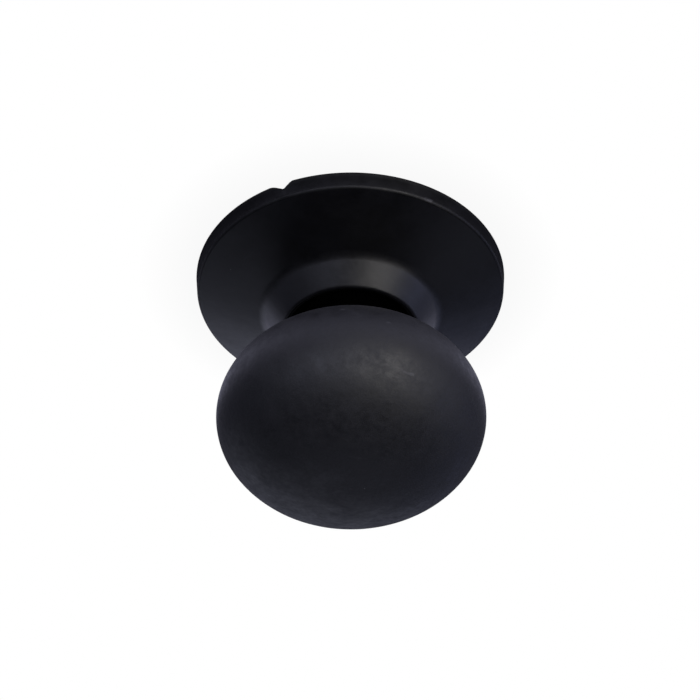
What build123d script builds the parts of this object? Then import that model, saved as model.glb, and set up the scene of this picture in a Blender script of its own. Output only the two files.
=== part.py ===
from build123d import *
import os
from math import atan2, cos, degrees, radians, sin, tan

# Case opening friction ball: a soft rubber ball on a rubber grip flange.
# The flange stands on its flat sole at z = 0, and the ball is at the top, on the +Z axis.
# Every length is in millimetres. Radii are measured from the Z axis.

# Friction ball: a flattened ball, wider than it is tall
BALL_RADIUS = 32.5
BALL_HALF_HEIGHT = 23.1
BALL_CENTRE_Z = 44.1

# Grip flange: a thin rim, a shallow cone, a steeper collar and a rounded lip round a recess
SOLE_RADIUS = 40.0
RIM_TOP_RADIUS = 39.5
RIM_HEIGHT = 4.6
RIM_EDGE_ROUND = 1.0
COLLAR_FOOT_RADIUS = 22.5
COLLAR_FOOT_Z = 10.5
COLLAR_FOOT_ROUND = 5.0
COLLAR_SLOPE = 50.0
LIP_ROUND = 1.0
LIP_CENTRE_Z = 15.6
RECESS_FLOOR_Z = 9.0
RECESS_CORNER_ROUND = 1.5

# A small V-shaped nick in the sole's edge, steeper on one side, that runs out inwards
NOTCH_ANGLE = -66.4
NOTCH_STEEP_SIDE = 2.0
NOTCH_SHALLOW_SIDE = 3.2
NOTCH_HEIGHT = 2.1
NOTCH_REACH = 3.4

# Sole pad and the film that holds it, in a shallow recess under the flange
PAD_RECESS_RADIUS = 34.0
PAD_RECESS_DEPTH = 2.5
PAD_GAP = 0.2
FILM_THICKNESS = 0.2
PAD_GROOVE_RADII = (12.0, 19.0, 26.0)
PAD_GROOVE_WIDTH = 1.4
PAD_GROOVE_DEPTH = 0.6
PAD_EDGE_CHAMFER = 0.5

# Steel load plate above the pad
PLATE_RADIUS = 17.5
PLATE_THICKNESS = 3.5

# Rigid core inside the ball: a domed head on a stem, with a shoulder and a spigot at its foot
HEAD_RADIUS = 21.0
HEAD_HALF_HEIGHT = 10.0
HEAD_ROUND = 6.0
HEAD_FOOT_ROUND = 3.0
ANCHOR_HOLES = 6
ANCHOR_HOLE_RADIUS = 2.5
ANCHOR_CIRCLE_RADIUS = 14.0
STEM_RADIUS = 8.0
STEM_FOOT_ROUND = 2.0
SHOULDER_RADIUS = 12.0
SHOULDER_THICKNESS = 2.5
SHOULDER_ROUND = 0.5
SPIGOT_RADIUS = 7.0

# Brass insert in the stem
INSERT_RADIUS = 4.5
INSERT_LENGTH = 12.0
INSERT_SETBACK = 0.3
INSERT_GROOVE_WIDTH = 1.2
INSERT_GROOVE_DEPTH = 0.5
INSERT_FLATS = 8
TAP_HOLE_EXTRA = 2.5

# M6 x 16 countersunk clamp screw with a 4 mm hexagon socket
SCREW_RADIUS = 3.0
SCREW_LENGTH = 16.0
SCREW_HEAD_RADIUS = 6.0
SCREW_HEAD_SETBACK = 0.1
SCREW_TIP_CHAMFER = 0.6
SOCKET_ACROSS_FLATS = 4.0
SOCKET_DEPTH = 2.3

# Two 3 x 8 drive pins between the plate and the core's shoulder
PIN_RADIUS = 1.5
PIN_LENGTH = 8.0
PIN_CIRCLE_RADIUS = 9.5
PIN_SETBACK = 0.3
PIN_END_CHAMFER = 0.3

# Radial room round each piece that slides into a hole
FIT_CLEARANCE = 0.05

# Heights that follow from the sizes above
PLATE_TOP_Z = PAD_RECESS_DEPTH + PLATE_THICKNESS
SHOULDER_TOP_Z = RECESS_FLOOR_Z + SHOULDER_THICKNESS
HEAD_BOTTOM_Z = BALL_CENTRE_Z - HEAD_HALF_HEIGHT
HEAD_TOP_Z = BALL_CENTRE_Z + HEAD_HALF_HEIGHT
INSERT_BOTTOM_Z = PLATE_TOP_Z + INSERT_SETBACK
INSERT_TOP_Z = INSERT_BOTTOM_Z + INSERT_LENGTH
SCREW_BOTTOM_Z = PAD_RECESS_DEPTH + SCREW_HEAD_SETBACK
PIN_BOTTOM_Z = PAD_RECESS_DEPTH + PIN_SETBACK
PIN_ANGLES = (0.0, 180.0)


def spin(section):
    """Turn a section, drawn with radius as x and height as y, once round the Z axis."""
    return revolve(Plane.XZ * section, Axis.Z)


def spin_outline(points):
    """Turn a straight-sided outline, given as (radius, z) points, round the Z axis."""
    return spin(make_face(Polyline(*points, close=True)))


def rod(radius, low_z, high_z):
    """An upright cylinder on the Z axis between two heights."""
    height = high_z - low_z
    return Pos(0, 0, low_z) * Cylinder(radius, height, align=(Align.CENTER, Align.CENTER, Align.MIN))


def at_angle(shape, radius, angle):
    """Carry a shape from the Z axis out to a radius, in a direction given in degrees."""
    return Rot(0, 0, angle) * Pos(radius, 0, 0) * shape


def insert_blank():
    """The brass insert's outer shape: flats against turning and two grooves against pulling out."""
    blank = rod(INSERT_RADIUS, INSERT_BOTTOM_Z, INSERT_TOP_Z)
    across_flats = 2 * INSERT_RADIUS * cos(radians(180 / INSERT_FLATS)) + INSERT_GROOVE_DEPTH
    flats = RegularPolygon(across_flats / 2, INSERT_FLATS, major_radius=False)
    blank &= Pos(0, 0, INSERT_BOTTOM_Z) * extrude(flats, INSERT_LENGTH)
    for share in (1 / 3, 2 / 3):
        middle = INSERT_BOTTOM_Z + share * INSERT_LENGTH
        low = middle - INSERT_GROOVE_WIDTH / 2
        high = middle + INSERT_GROOVE_WIDTH / 2
        waist = rod(INSERT_RADIUS - INSERT_GROOVE_DEPTH, low, high)
        blank -= rod(INSERT_RADIUS + 1, low, high) - waist
    return blank


def threaded_insert():
    """The brass insert, bored for the clamp screw."""
    bore = rod(SCREW_RADIUS + FIT_CLEARANCE, INSERT_BOTTOM_Z, INSERT_TOP_Z)
    return insert_blank() - bore


def core_section():
    """The core's section: spigot, shoulder, stem and a head with well rounded edges."""
    outline = FilletPolyline(
        (0, PLATE_TOP_Z),
        (SPIGOT_RADIUS, PLATE_TOP_Z),
        (SPIGOT_RADIUS, RECESS_FLOOR_Z),
        (SHOULDER_RADIUS, RECESS_FLOOR_Z),
        (SHOULDER_RADIUS, SHOULDER_TOP_Z),
        (STEM_RADIUS, SHOULDER_TOP_Z),
        (STEM_RADIUS, HEAD_BOTTOM_Z),
        (HEAD_RADIUS, HEAD_BOTTOM_Z),
        (HEAD_RADIUS, HEAD_TOP_Z),
        (0, HEAD_TOP_Z),
        radius=(0, 0, 0, SHOULDER_ROUND, STEM_FOOT_ROUND, HEAD_FOOT_ROUND, HEAD_ROUND, HEAD_ROUND),
    )
    axis_line = Line((0, HEAD_TOP_Z), (0, PLATE_TOP_Z))
    return make_face(Curve() + [outline, axis_line])


def core_blank():
    """The core's outer shape, with the upright anchor holes that the ball's rubber fills."""
    blank = spin(core_section())
    anchor = rod(ANCHOR_HOLE_RADIUS, HEAD_BOTTOM_Z, HEAD_TOP_Z)
    for number in range(ANCHOR_HOLES):
        blank -= at_angle(anchor, ANCHOR_CIRCLE_RADIUS, number * 360 / ANCHOR_HOLES)
    return blank


def ball_core():
    """The rigid core, with its pockets for the insert, the screw's tip and the drive pins."""
    core = core_blank() - insert_blank()
    core -= rod(INSERT_RADIUS, PLATE_TOP_Z, INSERT_BOTTOM_Z)
    core -= rod(SCREW_RADIUS + FIT_CLEARANCE, INSERT_TOP_Z, INSERT_TOP_Z + TAP_HOLE_EXTRA)
    pin_hole = rod(PIN_RADIUS + FIT_CLEARANCE, RECESS_FLOOR_Z, PIN_BOTTOM_Z + PIN_LENGTH + FIT_CLEARANCE)
    for angle in PIN_ANGLES:
        core -= at_angle(pin_hole, PIN_CIRCLE_RADIUS, angle)
    return core


def ball_section():
    """Half of the ball's ellipse, as two exact quarters that meet at its widest."""
    low_z = BALL_CENTRE_Z - BALL_HALF_HEIGHT
    high_z = BALL_CENTRE_Z + BALL_HALF_HEIGHT
    weights = (1, cos(radians(45)), 1)
    lower = Bezier((0, low_z), (BALL_RADIUS, low_z), (BALL_RADIUS, BALL_CENTRE_Z), weights=weights)
    upper = Bezier((BALL_RADIUS, BALL_CENTRE_Z), (BALL_RADIUS, high_z), (0, high_z), weights=weights)
    axis_line = Line((0, high_z), (0, low_z))
    return make_face(Curve() + [lower, upper, axis_line])


def friction_ball():
    """The soft rubber ball, moulded round the core and through its anchor holes."""
    return spin(ball_section()) - core_blank()


def flange_section():
    """The flange's section, drawn from the bore out along the underside and back over the top."""
    foot = Vector(COLLAR_FOOT_RADIUS, COLLAR_FOOT_Z)
    slope = radians(COLLAR_SLOPE)
    # The lip's arc meets the collar's straight side here
    lip_start_z = LIP_CENTRE_Z + LIP_ROUND * cos(slope)
    lip_start_radius = foot.X - (lip_start_z - foot.Y) / tan(slope)
    recess_radius = lip_start_radius - LIP_ROUND * sin(slope) - LIP_ROUND
    bore_radius = SPIGOT_RADIUS + FIT_CLEARANCE
    pocket_radius = PLATE_RADIUS + FIT_CLEARANCE
    underside = Polyline(
        (bore_radius, PLATE_TOP_Z),
        (pocket_radius, PLATE_TOP_Z),
        (pocket_radius, PAD_RECESS_DEPTH),
        (PAD_RECESS_RADIUS, PAD_RECESS_DEPTH),
        (PAD_RECESS_RADIUS, 0),
        (SOLE_RADIUS, 0),
    )
    top = FilletPolyline(
        (SOLE_RADIUS, 0),
        (RIM_TOP_RADIUS, RIM_HEIGHT),
        (COLLAR_FOOT_RADIUS, COLLAR_FOOT_Z),
        (lip_start_radius, lip_start_z),
        radius=(RIM_EDGE_ROUND, COLLAR_FOOT_ROUND),
    )
    lip = JernArc(
        start=(lip_start_radius, lip_start_z),
        tangent=(-cos(slope), sin(slope)),
        radius=LIP_ROUND,
        arc_size=90 + COLLAR_SLOPE,
    )
    recess = FilletPolyline(
        lip @ 1,
        (recess_radius, RECESS_FLOOR_Z),
        (bore_radius, RECESS_FLOOR_Z),
        radius=(RECESS_CORNER_ROUND,),
    )
    bore = Line((bore_radius, RECESS_FLOOR_Z), (bore_radius, PLATE_TOP_Z))
    return make_face(Curve() + [underside, top, lip, recess, bore])


def rim_notch():
    """The wedge that is cut from the sole's edge: highest at the edge, and running out inwards."""
    corners = [(-NOTCH_STEEP_SIDE, 0), (NOTCH_SHALLOW_SIDE, 0), (0, NOTCH_HEIGHT)]
    mouth = Plane.YZ * make_face(Polyline(*corners, close=True))
    wedge = extrude(mouth, 2 * NOTCH_REACH, both=True)
    rise = degrees(atan2(NOTCH_HEIGHT, NOTCH_REACH))
    return Rot(0, 0, NOTCH_ANGLE) * Pos(SOLE_RADIUS, 0, 0) * Rot(0, -rise, 0) * wedge


def grip_flange():
    """The flange, with its pin holes and the nick in its edge."""
    flange = spin(flange_section()) - rim_notch()
    pin_hole = rod(PIN_RADIUS + FIT_CLEARANCE, PLATE_TOP_Z, RECESS_FLOOR_Z)
    for angle in PIN_ANGLES:
        flange -= at_angle(pin_hole, PIN_CIRCLE_RADIUS, angle)
    return flange


def load_plate():
    """The steel plate that the screw's head and the pins bear on."""
    plate = rod(PLATE_RADIUS, PAD_RECESS_DEPTH, PLATE_TOP_Z)
    head_radius = SCREW_HEAD_RADIUS + FIT_CLEARANCE + SCREW_HEAD_SETBACK
    hole_radius = SCREW_RADIUS + 2 * FIT_CLEARANCE
    cone_top_z = PAD_RECESS_DEPTH + head_radius - hole_radius
    plate -= spin_outline(
        [
            (0, PAD_RECESS_DEPTH),
            (head_radius, PAD_RECESS_DEPTH),
            (hole_radius, cone_top_z),
            (hole_radius, PLATE_TOP_Z),
            (0, PLATE_TOP_Z),
        ]
    )
    pin_hole = rod(PIN_RADIUS + FIT_CLEARANCE, PAD_RECESS_DEPTH, PLATE_TOP_Z)
    for angle in PIN_ANGLES:
        plate -= at_angle(pin_hole, PIN_CIRCLE_RADIUS, angle)
    return plate


def clamp_screw():
    """The countersunk screw, head down, with a hexagon socket."""
    tip_z = SCREW_BOTTOM_Z + SCREW_LENGTH
    screw = spin_outline(
        [
            (0, SCREW_BOTTOM_Z),
            (SCREW_HEAD_RADIUS, SCREW_BOTTOM_Z),
            (SCREW_RADIUS, SCREW_BOTTOM_Z + SCREW_HEAD_RADIUS - SCREW_RADIUS),
            (SCREW_RADIUS, tip_z - SCREW_TIP_CHAMFER),
            (SCREW_RADIUS - SCREW_TIP_CHAMFER, tip_z),
            (0, tip_z),
        ]
    )
    hexagon = RegularPolygon(SOCKET_ACROSS_FLATS / 2, 6, major_radius=False)
    return screw - Pos(0, 0, SCREW_BOTTOM_Z) * extrude(hexagon, SOCKET_DEPTH)


def drive_pins():
    """The two dowels that carry the turning load."""
    pin = rod(PIN_RADIUS, PIN_BOTTOM_Z, PIN_BOTTOM_Z + PIN_LENGTH)
    pin = chamfer(pin.edges().filter_by(GeomType.CIRCLE), PIN_END_CHAMFER)
    return Compound([at_angle(pin, PIN_CIRCLE_RADIUS, angle) for angle in PIN_ANGLES])


def sole_pad():
    """The friction pad: a thin disc with shallow rings cut in its lower face."""
    pad = rod(PAD_RECESS_RADIUS - PAD_GAP, 0, PAD_RECESS_DEPTH - FILM_THICKNESS)
    pad = chamfer(pad.edges().group_by(Axis.Z)[0], PAD_EDGE_CHAMFER)
    for radius in PAD_GROOVE_RADII:
        ring = rod(radius + PAD_GROOVE_WIDTH / 2, 0, PAD_GROOVE_DEPTH)
        pad -= ring - rod(radius - PAD_GROOVE_WIDTH / 2, 0, PAD_GROOVE_DEPTH)
    return pad


def pad_film():
    """The adhesive film between the pad and the flange."""
    return rod(PAD_RECESS_RADIUS - 2 * PAD_GAP, PAD_RECESS_DEPTH - FILM_THICKNESS, PAD_RECESS_DEPTH)


os.makedirs("parts", exist_ok=True)
export_step(friction_ball(), "parts/friction_ball.step")
export_step(ball_core(), "parts/ball_core.step")
export_step(threaded_insert(), "parts/threaded_insert.step")
export_step(grip_flange(), "parts/grip_flange.step")
export_step(load_plate(), "parts/load_plate.step")
export_step(clamp_screw(), "parts/clamp_screw.step")
export_step(drive_pins(), "parts/drive_pins.step")
export_step(sole_pad(), "parts/sole_pad.step")
export_step(pad_film(), "parts/pad_film.step")
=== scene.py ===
"""Looks of the case opening friction ball: a soft black rubber ball on a flared rubber base.

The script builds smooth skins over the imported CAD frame, gives every piece a procedural
material, and lights the tool softly on a plain pale floor. Lengths in the named values are in
millimetres, and MM turns them into Blender's metres.
"""

from math import acos, atan2, ceil, cos, hypot, pi, radians, sin, tan

import bpy
from mathutils import Matrix, Vector, noise


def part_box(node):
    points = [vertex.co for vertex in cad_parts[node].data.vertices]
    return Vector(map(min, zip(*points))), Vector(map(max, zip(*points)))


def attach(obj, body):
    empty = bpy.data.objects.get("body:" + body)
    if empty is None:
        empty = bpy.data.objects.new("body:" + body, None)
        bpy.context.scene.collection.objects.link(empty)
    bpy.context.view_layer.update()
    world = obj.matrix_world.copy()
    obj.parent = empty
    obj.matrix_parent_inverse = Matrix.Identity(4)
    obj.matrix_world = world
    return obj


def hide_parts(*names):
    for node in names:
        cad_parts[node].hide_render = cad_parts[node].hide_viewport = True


MM = 0.001

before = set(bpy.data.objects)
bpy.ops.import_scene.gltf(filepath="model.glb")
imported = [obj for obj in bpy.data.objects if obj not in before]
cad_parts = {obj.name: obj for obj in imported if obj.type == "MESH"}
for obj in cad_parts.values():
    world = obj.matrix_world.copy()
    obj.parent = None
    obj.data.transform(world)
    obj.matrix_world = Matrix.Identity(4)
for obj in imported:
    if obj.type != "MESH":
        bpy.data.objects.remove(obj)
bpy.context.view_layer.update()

# ---------------------------------------------------------------------------------------------
# Sizes that the skins share with the CAD, read from the frame where a box gives them

flange_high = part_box("grip_flange")[1]
ball_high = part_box("friction_ball")[1]
pad_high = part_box("sole_pad")[1]
core_low, core_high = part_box("ball_core")

# The friction ball and the cavity that the core fills
BALL_RADIUS = 32.5
BALL_HALF_HEIGHT = 23.1
BALL_CENTRE_Z = ball_high.z / MM - BALL_HALF_HEIGHT
HEAD_RADIUS = core_high.x / MM
HEAD_TOP_Z = core_high.z / MM
HEAD_HEIGHT = 20.0
HEAD_BOTTOM_Z = HEAD_TOP_Z - HEAD_HEIGHT
HEAD_ROUND = 6.0
HEAD_FOOT_ROUND = 3.0
STEM_RADIUS = 8.0
NECK_EDGE_ROUND = 0.4

# The grip flange
SOLE_RADIUS = flange_high.x / MM
RIM_TOP_RADIUS = SOLE_RADIUS - 0.5
RIM_HEIGHT = 4.6
RIM_EDGE_ROUND = 1.0
SOLE_EDGE_ROUND = 0.2
COLLAR_FOOT = (22.5, 10.5)
COLLAR_FOOT_ROUND = 5.0
COLLAR_SLOPE = radians(50)
LIP_ROUND = 1.0
LIP_CENTRE_Z = flange_high.z / MM - LIP_ROUND
RECESS_FLOOR_Z = 9.0
RECESS_CORNER_ROUND = 1.5
# Faces this little below the recess floor are still the recess's
RECESS_MARGIN = 0.1
PLATE_TOP_Z = core_low.z / MM
BORE_RADIUS = 7.05
POCKET_RADIUS = 17.55

# The nick in the sole's edge: its outline gives (distance along the rim, height)
NICK_ANGLE = radians(-66.4)
NICK_OUTLINE = (
    (-2.3, 0),
    (-1.6, 0.45),
    (-0.15, 2.05),
    (0.2, 2.05),
    (2.1, 0.7),
    (2.9, 0.25),
    (3.7, 0),
)
NICK_REACH = 3.4

# The sole pad in its recess
PAD_RECESS_RADIUS = 34.0
PAD_RECESS_DEPTH = 2.5
PAD_RADIUS = pad_high.x / MM
PAD_TOP_Z = pad_high.z / MM
PAD_EDGE_CHAMFER = 0.5
PAD_GROOVE_RADII = (12.0, 19.0, 26.0)
PAD_GROOVE_WIDTH = 1.4
PAD_GROOVE_DEPTH = 0.6
PAD_GROOVE_ROUND = 0.15

# How finely the skins are divided: the longest step round an arc and along a straight run
ARC_STEP = 0.12
FINE_ARC_STEP = 0.08
HIDDEN_ARC_STEP = 0.4
FLANGE_RUN = 0.4
RECESS_RUN = 0.8
LONG_RUN = 1.5

# Steps round a whole turn, and up the ball's outside from the stem's hole to the pole
BALL_TURN_STEPS = 288
PAD_TURN_STEPS = 240
BALL_OUTSIDE_STEPS = 160
# The step up the outside at which the neck's softened edge has run out
NECK_EDGE_STEP = 12
# Angles between the flange's steps, finer across the nick and for a little way past it
RIM_TURN = radians(1)
NICK_TURN = radians(0.1)
NICK_TURNS_BEFORE = radians(4)
NICK_TURNS_AFTER = radians(6)
# Edges that turn by more than this look sharp
SHARP_ANGLE = radians(35)

# The ball's outside is never quite true: how far it wavers, and over what length
BROAD_WAVER = 0.035
BROAD_WAVER_LENGTH = 14
FINE_WAVER = 0.012
FINE_WAVER_LENGTH = 4.5
FINE_WAVER_SHIFT = Vector((7, 3, 1))
# Points nearer to the ball's centre than this share of its outside belong to the cavity
OUTSIDE_SHARE = 0.98

# ---------------------------------------------------------------------------------------------
# Outlines: lists of (radius, z) in millimetres


def rounded(corners, step=ARC_STEP):
    """An outline through (radius, z, round) corners, each rounded by its own radius."""
    points = []
    count = len(corners)
    for index, (x, z, radius) in enumerate(corners):
        here = Vector((x, z))
        if radius == 0 or index in (0, count - 1):
            points.append((x, z))
            continue
        before = (Vector(corners[index - 1][:2]) - here).normalized()
        after = (Vector(corners[index + 1][:2]) - here).normalized()
        half = before.angle(after) / 2
        centre = here + (before + after).normalized() * (radius / sin(half))
        cut = radius / tan(half)
        start = here + before * cut - centre
        end = here + after * cut - centre
        first = atan2(start.y, start.x)
        turn = (atan2(end.y, end.x) - first + pi) % (2 * pi) - pi
        pieces = max(3, ceil(abs(turn) * radius / step))
        for number in range(pieces + 1):
            angle = first + turn * number / pieces
            points.append((centre.x + radius * cos(angle), centre.y + radius * sin(angle)))
    return points


def divided(points, longest):
    """The same outline with its long straight runs cut into shorter ones."""
    out = [points[0]]
    for (x0, z0), (x1, z1) in zip(points, points[1:]):
        pieces = max(1, ceil(hypot(x1 - x0, z1 - z0) / longest))
        for number in range(1, pieces + 1):
            share = number / pieces
            out.append((x0 + (x1 - x0) * share, z0 + (z1 - z0) * share))
    return out


def arc(centre, radius, first, last, step=ARC_STEP):
    """Points along a circular arc, with its angles in radians."""
    pieces = max(3, ceil(abs(last - first) * radius / step))
    angles = [first + (last - first) * number / pieces for number in range(pieces + 1)]
    return [(centre[0] + radius * cos(angle), centre[1] + radius * sin(angle)) for angle in angles]


# ---------------------------------------------------------------------------------------------
# Skins turned round the Z axis


def even_angles(count):
    """A whole turn in even steps."""
    return [2 * pi * number / count for number in range(count)]


def lathe(name, outline, angles, closed=True, shape=None):
    """A skin made by turning an outline round the Z axis.

    closed joins the outline's last point to its first. A point on the axis becomes one vertex.
    shape(radius, z, angle) may move a vertex, and returns its new (radius, z).
    """
    vertices = []
    rings = []
    for x, z in outline:
        if x < 1e-6:
            rings.append([len(vertices)])
            vertices.append((0, 0, z * MM))
            continue
        ring = []
        for angle in angles:
            px, pz = shape(x, z, angle) if shape else (x, z)
            ring.append(len(vertices))
            vertices.append((px * cos(angle) * MM, px * sin(angle) * MM, pz * MM))
        rings.append(ring)
    pairs = list(zip(rings, rings[1:]))
    if closed:
        pairs.append((rings[-1], rings[0]))
    faces = []
    count = len(angles)
    for low, high in pairs:
        for number in range(count):
            after = (number + 1) % count
            if len(low) == 1:
                faces.append((low[0], high[after], high[number]))
            elif len(high) == 1:
                faces.append((low[number], low[after], high[0]))
            else:
                faces.append((low[number], low[after], high[after], high[number]))
    mesh = bpy.data.meshes.new(name)
    mesh.from_pydata(vertices, [], faces)
    mesh.validate()
    mesh.shade_smooth()
    mesh.set_sharp_from_angle(angle=SHARP_ANGLE)
    piece = bpy.data.objects.new(name, mesh)
    bpy.context.scene.collection.objects.link(piece)
    return piece


# ---------------------------------------------------------------------------------------------
# Friction ball


def ball_waver(x, z, angle):
    """Move a point of the ball's outside in or out by a few hundredths of a millimetre."""
    if hypot(x / BALL_RADIUS, (z - BALL_CENTRE_Z) / BALL_HALF_HEIGHT) < OUTSIDE_SHARE:
        return x, z
    spot = Vector((x * cos(angle), x * sin(angle), z))
    swell = BROAD_WAVER * noise.noise(spot / BROAD_WAVER_LENGTH)
    swell += FINE_WAVER * noise.noise(spot / FINE_WAVER_LENGTH + FINE_WAVER_SHIFT)
    away = Vector((x, z - BALL_CENTRE_Z)).normalized()
    return x + away.x * swell, z + away.y * swell


def ball_outside():
    """The ellipse from the edge of the stem's hole up to the top pole."""
    first = -acos(STEM_RADIUS / BALL_RADIUS)
    points = []
    for number in range(BALL_OUTSIDE_STEPS + 1):
        angle = first + (pi / 2 - first) * number / BALL_OUTSIDE_STEPS
        points.append((BALL_RADIUS * cos(angle), BALL_CENTRE_Z + BALL_HALF_HEIGHT * sin(angle)))
    points[-1] = (0, ball_high.z / MM)
    return points


def build_ball():
    """The ball's skin: the cavity round the core's head and stem, and the outside."""
    outside = ball_outside()
    cavity = rounded(
        [
            (0, HEAD_TOP_Z, 0),
            (HEAD_RADIUS, HEAD_TOP_Z, HEAD_ROUND),
            (HEAD_RADIUS, HEAD_BOTTOM_Z, HEAD_ROUND),
            (STEM_RADIUS, HEAD_BOTTOM_Z, HEAD_FOOT_ROUND),
            (STEM_RADIUS, outside[0][1], NECK_EDGE_ROUND),
            outside[NECK_EDGE_STEP] + (0,),
        ],
        step=HIDDEN_ARC_STEP,
    )
    outline = divided(cavity, LONG_RUN) + outside[NECK_EDGE_STEP + 1 :]
    angles = even_angles(BALL_TURN_STEPS)
    return lathe("ball_skin", outline, angles, closed=False, shape=ball_waver)


# ---------------------------------------------------------------------------------------------
# Grip flange


def nick_height(angle):
    """How high the nick reaches at an angle round the rim."""
    along = (angle - NICK_ANGLE) * SOLE_RADIUS
    for (x0, z0), (x1, z1) in zip(NICK_OUTLINE, NICK_OUTLINE[1:]):
        if x0 <= along < x1:
            return z0 + (z1 - z0) * (along - x0) / (x1 - x0)
    return 0


def nick_shape(x, z, angle):
    """Lift the sole's edge into the nick: all the way at the rim, and running out inwards."""
    height = nick_height(angle)
    inward = (x - SOLE_RADIUS + NICK_REACH) / NICK_REACH
    if height == 0 or inward <= 0 or z >= RIM_HEIGHT:
        return x, z
    return x, z + height * min(inward, 1) * (1 - z / RIM_HEIGHT)


def flange_angles():
    """Even steps round the rim, with finer ones across the nick."""
    low = NICK_ANGLE - NICK_TURNS_BEFORE
    high = NICK_ANGLE + NICK_TURNS_AFTER
    angles = [low + NICK_TURN * number for number in range(round((high - low) / NICK_TURN))]
    rest = 2 * pi - (high - low)
    count = round(rest / RIM_TURN)
    return angles + [high + rest * number / count for number in range(count)]


def lip_start():
    """Where the lip's arc meets the collar's straight side."""
    z = LIP_CENTRE_Z + LIP_ROUND * cos(COLLAR_SLOPE)
    return COLLAR_FOOT[0] - (z - COLLAR_FOOT[1]) / tan(COLLAR_SLOPE), z


def flange_recess_radius():
    """The radius of the recess inside the lip."""
    return lip_start()[0] - LIP_ROUND * sin(COLLAR_SLOPE) - LIP_ROUND


def build_flange():
    """The flange's skin: sole, rim, cone, collar, rounded lip and the recess inside it."""
    recess_radius = flange_recess_radius()
    lip_centre = (recess_radius + LIP_ROUND, LIP_CENTRE_Z)
    outside = rounded(
        [
            (BORE_RADIUS, PLATE_TOP_Z, 0),
            (POCKET_RADIUS, PLATE_TOP_Z, 0),
            (POCKET_RADIUS, PAD_RECESS_DEPTH, 0),
            (PAD_RECESS_RADIUS, PAD_RECESS_DEPTH, 0),
            (PAD_RECESS_RADIUS, 0, SOLE_EDGE_ROUND),
            (SOLE_RADIUS, 0, SOLE_EDGE_ROUND),
            (RIM_TOP_RADIUS, RIM_HEIGHT, RIM_EDGE_ROUND),
            (*COLLAR_FOOT, COLLAR_FOOT_ROUND),
            (*lip_start(), 0),
        ],
        step=FINE_ARC_STEP,
    )
    lip = arc(lip_centre, LIP_ROUND, pi / 2 - COLLAR_SLOPE, pi)
    recess = rounded(
        [
            (recess_radius, LIP_CENTRE_Z, 0),
            (recess_radius, RECESS_FLOOR_Z, RECESS_CORNER_ROUND),
            (BORE_RADIUS, RECESS_FLOOR_Z, 0),
        ]
    )
    outline = divided(outside, FLANGE_RUN) + lip[1:-1] + divided(recess, RECESS_RUN)
    return lathe("flange_skin", outline, flange_angles(), shape=nick_shape)


# ---------------------------------------------------------------------------------------------
# Sole pad


def build_pad():
    """The friction pad's skin, with its shallow rings and softened edges."""
    corners = [(0, 0, 0)]
    for radius in PAD_GROOVE_RADII:
        near = radius - PAD_GROOVE_WIDTH / 2
        far = radius + PAD_GROOVE_WIDTH / 2
        corners += [
            (near, 0, PAD_GROOVE_ROUND),
            (near, PAD_GROOVE_DEPTH, PAD_GROOVE_ROUND),
            (far, PAD_GROOVE_DEPTH, PAD_GROOVE_ROUND),
            (far, 0, PAD_GROOVE_ROUND),
        ]
    corners += [
        (PAD_RADIUS - PAD_EDGE_CHAMFER, 0, PAD_GROOVE_ROUND),
        (PAD_RADIUS, PAD_EDGE_CHAMFER, PAD_GROOVE_ROUND),
        (PAD_RADIUS, PAD_TOP_Z, PAD_GROOVE_ROUND),
        (0, PAD_TOP_Z, 0),
    ]
    outline = divided(rounded(corners, step=FINE_ARC_STEP), LONG_RUN)
    return lathe("pad_skin", outline, even_angles(PAD_TURN_STEPS), closed=False)


# ---------------------------------------------------------------------------------------------
# Materials


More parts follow.
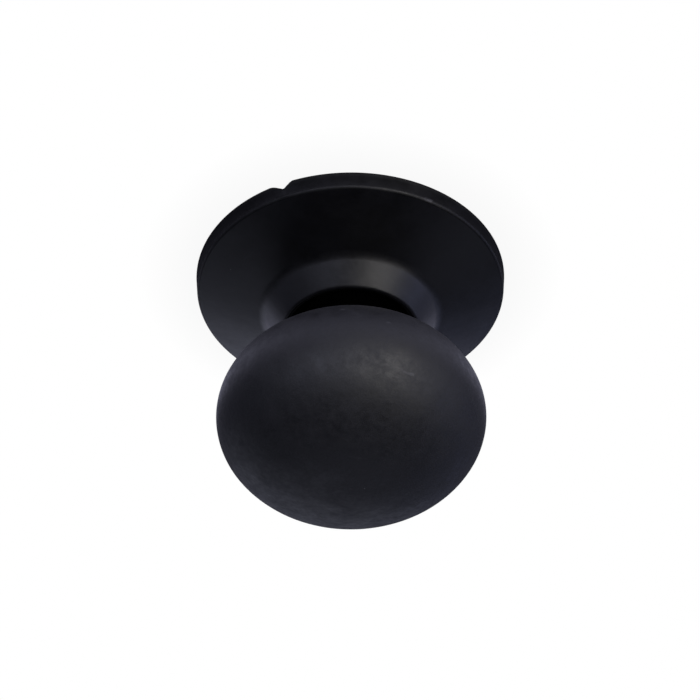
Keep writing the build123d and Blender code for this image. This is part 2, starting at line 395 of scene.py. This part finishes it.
class Nodes:
    """A small helper that builds one node material."""

    def __init__(self, name):
        self.material = bpy.data.materials.new(name)
        self.material.use_nodes = True
        self.tree = self.material.node_tree
        self.tree.nodes.clear()
        self.output = self.add("ShaderNodeOutputMaterial")

    def add(self, kind, values=None, **settings):
        """A node with its plain settings, and with socket values or links from values."""
        node = self.tree.nodes.new(kind)
        for key, value in settings.items():
            setattr(node, key, value)
        for key, value in (values or {}).items():
            self.put(value, node.inputs[key])
        return node

    def put(self, value, socket):
        """Link a socket to another one, or set its value."""
        if isinstance(value, bpy.types.NodeSocket):
            self.tree.links.new(value, socket)
        else:
            socket.default_value = value

    def place(self):
        """Where a point is on the object, in metres."""
        return self.add("ShaderNodeTexCoord").outputs["Object"]

    def noise(self, place, scale, detail=2.0, roughness=0.5):
        """A noise pattern from 0 to 1."""
        values = {"Vector": place, "Scale": scale, "Detail": detail, "Roughness": roughness}
        return self.add("ShaderNodeTexNoise", values).outputs["Fac"]

    def spread(self, value, from_low, from_high, to_low, to_high):
        """A value carried from one range to another, and kept inside it."""
        values = {
            "Value": value,
            "From Min": from_low,
            "From Max": from_high,
            "To Min": to_low,
            "To Max": to_high,
        }
        return self.add("ShaderNodeMapRange", values).outputs["Result"]

    def maths(self, operation, first, second=0.0, clamp=False):
        """One step of arithmetic."""
        node = self.add("ShaderNodeMath", operation=operation, use_clamp=clamp)
        self.put(first, node.inputs[0])
        self.put(second, node.inputs[1])
        return node.outputs["Value"]

    def vector(self, operation, first, second=(0, 0, 0)):
        """One step of vector arithmetic, which gives a vector."""
        node = self.add("ShaderNodeVectorMath", operation=operation)
        self.put(first, node.inputs[0])
        self.put(second, node.inputs[1])
        return node.outputs["Vector"]

    def length(self, vector):
        """How long a vector is."""
        node = self.add("ShaderNodeVectorMath", {0: vector}, operation="LENGTH")
        return node.outputs["Value"]

    def mix(self, factor, first, second):
        """A colour between two colours."""
        node = self.add("ShaderNodeMix", data_type="RGBA")
        self.put(factor, node.inputs[0])
        self.put(first, node.inputs[6])
        self.put(second, node.inputs[7])
        return node.outputs[2]

    def scratch(self, place, start, end, width):
        """A mask that is 1 along a short straight mark between two points, in millimetres."""
        start = Vector(start) * MM
        along = Vector(end) * MM - start
        offset = self.vector("SUBTRACT", place, tuple(start))
        share = self.add("ShaderNodeVectorMath", {0: offset}, operation="DOT_PRODUCT")
        share.inputs[1].default_value = tuple(along / along.length_squared)
        share = self.maths("MULTIPLY", share.outputs["Value"], 1.0, clamp=True)
        nearest = self.add("ShaderNodeVectorMath", {"Scale": share}, operation="SCALE")
        nearest.inputs[0].default_value = tuple(along)
        away = self.length(self.vector("SUBTRACT", offset, nearest.outputs["Vector"]))
        return self.spread(away, width * MM * 0.3, width * MM, 1, 0)

    def ring(self, place, radius, height, width):
        """A mask that is 1 along a circle round the Z axis and fades out at a distance from it."""
        flat = self.length(self.vector("MULTIPLY", place, (1, 1, 0)))
        parts = self.add("ShaderNodeSeparateXYZ", {"Vector": place})
        across = self.maths("SUBTRACT", flat, radius * MM)
        rise = self.maths("SUBTRACT", parts.outputs["Z"], height * MM)
        both = self.add("ShaderNodeCombineXYZ", {"X": across, "Y": rise})
        return self.spread(self.length(both.outputs["Vector"]), 0, width * MM, 1, 0)

    def specks(self, place, spacing, size, share):
        """A mask of small round specks: about one in every 1 / share cells has one."""
        cells = self.add("ShaderNodeTexVoronoi", {"Vector": place, "Scale": 1 / (spacing * MM)})
        chance = self.add("ShaderNodeSeparateColor", {"Color": cells.outputs["Color"]})
        chosen = self.maths("LESS_THAN", chance.outputs["Red"], share)
        radius = self.spread(chance.outputs["Green"], 0, 1, 0.5, 1.2)
        reach = self.maths("DIVIDE", cells.outputs["Distance"], radius)
        dot = self.spread(reach, 0.5 * size / spacing, size / spacing, 1, 0)
        return self.maths("MULTIPLY", dot, chosen)

    def bump(self, height, distance, normal=None):
        """A normal that is bent by a height pattern, with the distance in metres."""
        values = {"Height": height, "Distance": distance}
        if normal:
            values["Normal"] = normal
        return self.add("ShaderNodeBump", values).outputs["Normal"]

    def finish(self, values):
        """The material's surface, with its values or links."""
        surface = self.add("ShaderNodeBsdfPrincipled", values)
        self.put(surface.outputs["BSDF"], self.output.inputs["Surface"])
        return self.material


# Small straight marks on the ball, as (azimuth, height, heading, length, width, strength), in
# degrees and millimetres. ball_mark says how the angles are measured.
BALL_DENTS = (
    (-19, 31, 95, 2.7, 1.6, 0.6),
    (-16.5, 42.5, 70, 3.4, 1.4, 0.7),
    (5, 55.5, 150, 1.8, 0.6, 0.5),
    (-11, 56.5, 70, 1.7, 0.6, 0.5),
    (-13.5, 61, 140, 0.7, 0.7, 0.5),
)
BALL_SCRATCHES = (
    (-25, 20.5, 0, 2.2, 0.45, 0.4),
    (-17, 19, 175, 2.1, 0.35, 0.1),
    (-21, 19.5, 165, 1.9, 0.35, 0.18),
    (-6.5, 65.5, 175, 4.0, 0.3, 0.07),
    (-56.5, 44.5, 105, 3.2, 0.4, 0.08),
    (-28, 57.5, 150, 0.7, 0.5, 0.1),
    (-31.5, 61, 155, 0.9, 0.5, 0.1),
    (-56, 50.5, 0, 0.9, 0.5, 0.08),
    (3.5, -23.5, 165, 0.5, 0.45, 0.5),
    (-15.5, -10.5, 20, 0.6, 0.4, 0.25),
)
# Scratches on the flange, as (start, end, width, strength), in millimetres
FLANGE_SCRATCHES = (
    ((-18.2, -35.1, 4.3), (-19.6, -34.4, 4.3), 0.6, 0.5),
    ((24.0, -20.0, 7.4), (26.5, -17.5, 7.3), 0.3, 0.06),
    ((-27.0, 12.0, 8.0), (-28.5, 15.0, 7.2), 0.3, 0.08),
    ((5.0, 30.0, 7.6), (9.0, 30.5, 7.1), 0.3, 0.08),
)
DENT_DEPTH = 0.06
# How far the scuffing and the painted shade of the duller edge rubber reach from the rim's top
# corner
EDGE_SCUFF_AND_SHADE_REACH = 0.72
# Worn rings: how wide they are and how they change the roughness
SOLE_WEAR_WIDTH = 1.5
SOLE_WEAR = 0.2
PAD_SHINE_WIDTH = 1.2
PAD_SHINE = -0.15

DUST = (0.12, 0.12, 0.13, 1)
FLANGE_DARK = (0.0002, 0.0002, 0.0004, 1)
FLANGE_BLOOM = (0.0012, 0.0012, 0.0022, 1)

# Noise patterns, as (scale, detail, roughness)
CLOUD = (70, 5, 0.6)
BLOTCH = (230, 3, 0.55)
SPECKLE = (850, 3, 0.6)
GRAIN = (2600, 2, 0.6)
SWELL = (110, 2, 0.5)
PLASTIC_TEXTURE = (1800, 3, 0.5)
PLASTIC_CLOUD = (120, 3, 0.5)
TARNISH = (260, 4, 0.5)
GLUE_CLOUD = (180, 3, 0.5)

# How deep rubber's patterns are, in millimetres, where its relief is 1
SWELL_DEPTH = 0.22
BLOTCH_DEPTH = 0.1
SPECKLE_DEPTH = 0.026
GRAIN_DEPTH = 0.009

# How much of the bloom is in the clouds and in each finer mottling, and how pale dust can get
CLOUD_FILM = 0.6
MOTTLE_FILM = 0.35
DUST_SHARE = 0.6
# How much rougher or smoother each mottling makes rubber, where its relief is 1
MOTTLE_ROUGHNESS = 0.06


def ball_mark(azimuth, height, heading, length, width, strength):
    """A mark on the ball, as (start, end, width, strength).

    azimuth 0 is the -Y side and height runs from 0 at the equator to 90 at the pole. heading is 0
    for a mark that lies level and 90 for one that points at the pole.
    """
    turn = radians(azimuth)
    rise = radians(height)
    outward = Vector((sin(turn), -cos(turn), 0))
    level = Vector((cos(turn), sin(turn), 0))
    axis = Vector((0, 0, 1))
    above = BALL_CENTRE_Z + BALL_HALF_HEIGHT * sin(rise)
    middle = outward * BALL_RADIUS * cos(rise) + axis * above
    uphill = (axis * BALL_HALF_HEIGHT * cos(rise) - outward * BALL_RADIUS * sin(rise)).normalized()
    along = level * cos(radians(heading)) + uphill * sin(radians(heading))
    return middle - along * length / 2, middle + along * length / 2, width, strength


def rubber(name, dark, bloom, roughness, relief, specular=0.5, dents=(), scratches=(), rings=()):
    """Matte black moulded rubber: a pale bloom, a fine grain, dust, small marks and worn rings.

    roughness is its (lowest, highest) value, and relief is how uneven its surface is. rings lists
    places that wear has made rougher or smoother, as (radius, height, width, change in roughness).
    """
    nodes = Nodes(name)
    place = nodes.place()
    cloud = nodes.noise(place, *CLOUD)
    blotch = nodes.noise(place, *BLOTCH)
    speckle = nodes.noise(place, *SPECKLE)
    grain = nodes.noise(place, *GRAIN)

    # Bloom: a pale film, thicker in clouds and finely mottled
    film = nodes.maths("MULTIPLY", nodes.spread(cloud, 0.35, 0.7, 0, 1), CLOUD_FILM)
    for pattern in (blotch, speckle):
        film = nodes.maths("ADD", film, nodes.spread(pattern, 0.45, 0.75, 0, MOTTLE_FILM))
    colour = nodes.mix(film, dark, bloom)

    # Dust and scratches show as a paler grey
    broken = nodes.spread(speckle, 0.38, 0.6, 0.2, 1)
    worn = nodes.specks(place, 3.0, 0.2, 0.03)
    for start, end, width, strength in scratches:
        mark = nodes.maths("MULTIPLY", nodes.scratch(place, start, end, width), strength)
        worn = nodes.maths("MAXIMUM", worn, nodes.maths("MULTIPLY", mark, broken))
    colour = nodes.mix(nodes.maths("MULTIPLY", worn, DUST_SHARE), colour, DUST)

    low, high = roughness
    rough = nodes.spread(cloud, 0.3, 0.7, low, high)
    uneven = MOTTLE_ROUGHNESS * relief
    for pattern in (blotch, speckle):
        rough = nodes.maths("ADD", rough, nodes.spread(pattern, 0.3, 0.7, -uneven, uneven))
    for radius, height, width, change in rings:
        edge = nodes.ring(place, radius, height, width)
        rough = nodes.maths("ADD", rough, nodes.maths("MULTIPLY", edge, change))

    normal = nodes.bump(nodes.noise(place, *SWELL), SWELL_DEPTH * MM * relief)
    normal = nodes.bump(blotch, BLOTCH_DEPTH * MM * relief, normal)
    normal = nodes.bump(speckle, SPECKLE_DEPTH * MM * relief, normal)
    normal = nodes.bump(grain, GRAIN_DEPTH * MM * relief, normal)
    for start, end, width, strength in dents:
        mark = nodes.scratch(place, start, end, width)
        normal = nodes.bump(nodes.maths("MULTIPLY", mark, -1), DENT_DEPTH * MM * strength, normal)
    return nodes.finish(
        {
            "Base Color": colour,
            "Roughness": rough,
            "Specular IOR Level": specular,
            "Normal": normal,
        }
    )


def moulded_plastic(name, colour, roughness, specular):
    """Dull black plastic with a fine eroded texture from its mould.

    Near black and almost unreflecting, it also serves as painted shade.
    """
    nodes = Nodes(name)
    place = nodes.place()
    texture = nodes.noise(place, *PLASTIC_TEXTURE)
    cloud = nodes.noise(place, *PLASTIC_CLOUD)
    paler = tuple(2 * part for part in colour[:3]) + (1,)
    return nodes.finish(
        {
            "Base Color": nodes.mix(nodes.spread(cloud, 0.35, 0.7, 0, 1), colour, paler),
            "Roughness": nodes.spread(texture, 0.3, 0.7, roughness - 0.04, roughness + 0.04),
            "Specular IOR Level": specular,
            "Normal": nodes.bump(texture, 0.00001),
        }
    )


def turned_metal(name, colour, roughness, ring_width=0.18):
    """Machined metal with fine turning rings round its axis and a little tarnish."""
    nodes = Nodes(name)
    place = nodes.place()
    flat = nodes.length(nodes.vector("MULTIPLY", place, (1, 1, 0)))
    parts = nodes.add("ShaderNodeSeparateXYZ", {"Vector": place})
    travel = nodes.maths("ADD", flat, parts.outputs["Z"])
    rings = nodes.maths("SINE", nodes.maths("MULTIPLY", travel, 2 * pi / (ring_width * MM)))
    cloud = nodes.noise(place, *TARNISH)
    tarnished = tuple(0.7 * part for part in colour[:3]) + (1,)
    return nodes.finish(
        {
            "Base Color": nodes.mix(nodes.spread(cloud, 0.4, 0.75, 0, 1), colour, tarnished),
            "Metallic": 1.0,
            "Roughness": nodes.spread(cloud, 0.3, 0.7, roughness - 0.06, roughness + 0.08),
            "Normal": nodes.bump(rings, 0.000004),
        }
    )


def adhesive(name):
    """The yellowish film of glue between the pad and the flange."""
    nodes = Nodes(name)
    place = nodes.place()
    cloud = nodes.noise(place, *GLUE_CLOUD)
    return nodes.finish(
        {
            "Base Color": nodes.mix(cloud, (0.78, 0.72, 0.55, 1), (0.62, 0.55, 0.38, 1)),
            "Roughness": nodes.spread(cloud, 0.3, 0.7, 0.25, 0.4),
            "Normal": nodes.bump(cloud, 0.00002),
        }
    )


def paint(piece, material):
    """Give every slot of a piece one material."""
    piece.data.materials.clear()
    piece.data.materials.append(material)


def paint_inside(piece, material, inside):
    """Give one more material to the faces that are inside, by their middle's (radius, z)."""
    piece.data.materials.append(material)
    slot = len(piece.data.materials) - 1
    for face in piece.data.polygons:
        middle = face.center / MM
        if inside(hypot(middle.x, middle.y), middle.z):
            face.material_index = slot


# ---------------------------------------------------------------------------------------------
# Pieces

ball = build_ball()
flange = build_flange()
pad = build_pad()

paint(
    ball,
    rubber(
        "ball_rubber",
        dark=(0.0013, 0.0014, 0.0025, 1),
        bloom=(0.0044, 0.0046, 0.0074, 1),
        roughness=(0.55, 0.65),
        relief=1.0,
        dents=[ball_mark(*mark) for mark in BALL_DENTS],
        scratches=[ball_mark(*mark) for mark in BALL_SCRATCHES],
    ),
)
paint(
    flange,
    rubber(
        "flange_rubber",
        dark=FLANGE_DARK,
        bloom=FLANGE_BLOOM,
        roughness=(0.38, 0.43),
        relief=0.4,
        scratches=FLANGE_SCRATCHES,
        rings=((SOLE_RADIUS, 0, SOLE_WEAR_WIDTH, SOLE_WEAR),),
    ),
)
# Painted shade: the recess and the inside of the lip get a near-black, almost unreflecting finish
# in place of the flange rubber, so that they render black
recess_painted_shade = moulded_plastic("recess_painted_shade", (0.0005, 0.0005, 0.0006, 1), 0.9, 0.05)
paint_inside(
    flange,
    recess_painted_shade,
    lambda x, z: x < flange_recess_radius() + LIP_ROUND and z > RECESS_FLOOR_Z - RECESS_MARGIN,
)
# The rim's edge gets a duller copy of the flange rubber: its low specular is painted shade that
# dims the edge's highlight, and its higher roughness is scuffing
edge_rubber_painted_shade = rubber(
    "edge_rubber_painted_shade",
    dark=FLANGE_DARK,
    bloom=FLANGE_BLOOM,
    roughness=(0.45, 0.6),
    relief=0.8,
    specular=0.25,
    scratches=FLANGE_SCRATCHES[:1],
)
paint_inside(
    flange,
    edge_rubber_painted_shade,
    lambda x, z: hypot(x - RIM_TOP_RADIUS, z - RIM_HEIGHT) < EDGE_SCUFF_AND_SHADE_REACH,
)
paint(
    pad,
    rubber(
        "pad_rubber",
        dark=(0.004, 0.004, 0.0045, 1),
        bloom=(0.012, 0.012, 0.013, 1),
        roughness=(0.6, 0.75),
        relief=1.0,
        rings=[(radius, 0, PAD_SHINE_WIDTH, PAD_SHINE) for radius in PAD_GROOVE_RADII],
    ),
)
for piece, node, slot in (
    (ball, "friction_ball", "ball_rubber"),
    (flange, "grip_flange", "flange_rubber"),
    (pad, "sole_pad", "pad_rubber"),
):
    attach(piece, "root")
    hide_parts(node)

steel = turned_metal("fastener_steel", (0.5, 0.51, 0.53, 1), 0.32)
for node, material in (
    # Partly painted shade: the core is black plastic, made almost unreflecting so that the neck
    # deep in the recess renders black
    ("ball_core", moulded_plastic("core_plastic", (0.0006, 0.0006, 0.0007, 1), 0.85, 0.05)),
    ("threaded_insert", turned_metal("insert_brass", (0.74, 0.5, 0.2, 1), 0.3)),
    ("load_plate", turned_metal("plate_steel", (0.56, 0.57, 0.58, 1), 0.38)),
    ("clamp_screw", steel),
    ("drive_pins", steel),
    ("pad_film", adhesive("adhesive_film")),
):
    paint(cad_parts[node], material)

# ---------------------------------------------------------------------------------------------
# Floor, light and camera

CAMERA_DISTANCE = 359.2
CAMERA_ELEVATION = 40.03
CAMERA_ROLL = 179.65
CAMERA_LENS = 74.57
CAMERA_AIM = (0.2, -3.52, 25.06)
LIGHT_AIM = Vector((0, 0, 35)) * MM
LIGHT_DISTANCE = 1.0
FLOOR_REACH = 3.0
SENSOR_WIDTH = 36
CLIP_START = 0.01

# How the floor's painted glow and painted contact shadow change outwards, as (nearest, farthest,
# value there, value there), with the distances from the tool's axis in metres
NEAR_LIGHT = (0.05, 0.06, 0.04, 1.5)
FAR_LIGHT = (0.078, 0.095, 0, 1.35)
CONTACT_SHADE = (0.04, 0.055, 0.94, 1)
BOUNCE_COLOUR = (0.75, 0.75, 1, 1)
WHITE = (1, 1, 1, 1)

NEUTRAL = (1.0, 0.97, 0.94)
COOL = (0.76, 0.79, 1.0)
BLUE = (0.58, 0.63, 1.0)

# Soft lights: (name, azimuth, elevation, width, height, watts, colour), sizes in metres
SOFT_LIGHTS = (
    ("window", -30, 10, 0.53, 0.35, 5.8, NEUTRAL),
    ("front_wall", 15, 10, 1.05, 0.35, 3.9, COOL),
    ("right_wall", -75, 10, 1.05, 0.35, 1.8, BLUE),
    ("right_high", -52, 32, 0.6, 0.35, 1.1, NEUTRAL),
    ("left_wall", 75, 10, 1.05, 0.35, 0.2, BLUE),
    ("left_high", 60, 30, 1.4, 0.35, 0.45, COOL),
    ("back_wall", 158, 6, 1.5, 0.35, 2.0, COOL),
    ("back_high", 148, 30, 0.8, 0.3, 0.1, COOL),
    ("back_right", -135, 10, 1.05, 0.35, 0.65, BLUE),
    ("ceiling", 165, 50, 0.7, 0.35, 0.9, COOL),
    ("ceiling_right", -135, 50, 0.7, 0.35, 0.3, COOL),
    ("overhead", 180, 75, 0.9, 0.4, 0.1, BLUE),
)


def direction(azimuth, elevation):
    """The way from the tool to a light or the camera. Azimuth 0 is the camera's side, -Y."""
    turn = radians(azimuth - 90)
    rise = radians(elevation)
    return Vector((cos(rise) * cos(turn), cos(rise) * sin(turn), sin(rise)))


def soft_light(name, azimuth, elevation, width, height, watts, colour):
    """A rectangular soft light that faces the tool."""
    light = bpy.data.lights.new(name, "AREA")
    light.shape = "RECTANGLE"
    light.size = width
    light.size_y = height
    light.energy = watts
    light.color = colour
    lamp = bpy.data.objects.new(name, light)
    away = direction(azimuth, elevation)
    lamp.location = LIGHT_AIM + away * LIGHT_DISTANCE
    lamp.rotation_euler = away.to_track_quat("Z", "Y").to_euler()
    lamp.visible_camera = False
    bpy.context.scene.collection.objects.link(lamp)


def build_floor():
    """A plain white table top that glows, with a painted contact shadow under the tool.

    To the camera it glows white, evenly but for that painted shadow. To the tool it glows dimly:
    painted light that is brightest a little way out, and painted shade close to the sole.
    """
    mesh = bpy.data.meshes.new("floor")
    corners = [(-1, -1, 0), (1, -1, 0), (1, 1, 0), (-1, 1, 0)]
    mesh.from_pydata([Vector(corner) * FLOOR_REACH for corner in corners], [], [(0, 1, 2, 3)])
    floor = bpy.data.objects.new("floor", mesh)
    bpy.context.scene.collection.objects.link(floor)
    nodes = Nodes("floor")
    away = nodes.length(nodes.place())
    # Painted light and shade that the tool sees: a glow brightest a little way out, dark near the
    # sole
    near_light = nodes.spread(away, *NEAR_LIGHT)
    far_light = nodes.spread(away, *FAR_LIGHT)
    bounce = nodes.maths("SUBTRACT", near_light, far_light)
    # Painted contact shadow in the white that the camera sees
    white = nodes.spread(away, *CONTACT_SHADE)
    bounce_light = nodes.add("ShaderNodeEmission", {"Color": BOUNCE_COLOUR, "Strength": bounce})
    white_light = nodes.add("ShaderNodeEmission", {"Color": WHITE, "Strength": white})
    rays = nodes.add("ShaderNodeLightPath")
    pick = nodes.add("ShaderNodeMixShader", {0: rays.outputs["Is Camera Ray"]})
    nodes.put(bounce_light.outputs[0], pick.inputs[1])
    nodes.put(white_light.outputs[0], pick.inputs[2])
    nodes.put(pick.outputs[0], nodes.output.inputs["Surface"])
    paint(floor, nodes.material)


def build_world():
    """A white room to the camera, which gives the tool no light of its own."""
    world = bpy.data.worlds.new("studio")
    world.use_nodes = True
    tree = world.node_tree
    background = tree.nodes["Background"]
    background.inputs["Color"].default_value = WHITE
    rays = tree.nodes.new("ShaderNodeLightPath")
    tree.links.new(rays.outputs["Is Camera Ray"], background.inputs["Strength"])
    bpy.context.scene.world = world


def build_camera():
    """The camera, which looks down at the tool and is turned over, so that the ball is lowest."""
    data = bpy.data.cameras.new("camera")
    data.lens = CAMERA_LENS
    data.sensor_width = SENSOR_WIDTH
    data.clip_start = CLIP_START
    camera = bpy.data.objects.new("camera", data)
    away = direction(0, CAMERA_ELEVATION)
    look = away.to_track_quat("Z", "Y").to_matrix() @ Matrix.Rotation(radians(CAMERA_ROLL), 3, "Z")
    place = Vector(CAMERA_AIM) * MM + away * CAMERA_DISTANCE * MM
    camera.matrix_world = Matrix.Translation(place) @ look.to_4x4()
    bpy.context.scene.collection.objects.link(camera)
    bpy.context.scene.camera = camera


build_floor()
build_world()
for light in SOFT_LIGHTS:
    soft_light(*light)
build_camera()
bpy.context.scene.view_settings.view_transform = "Standard"
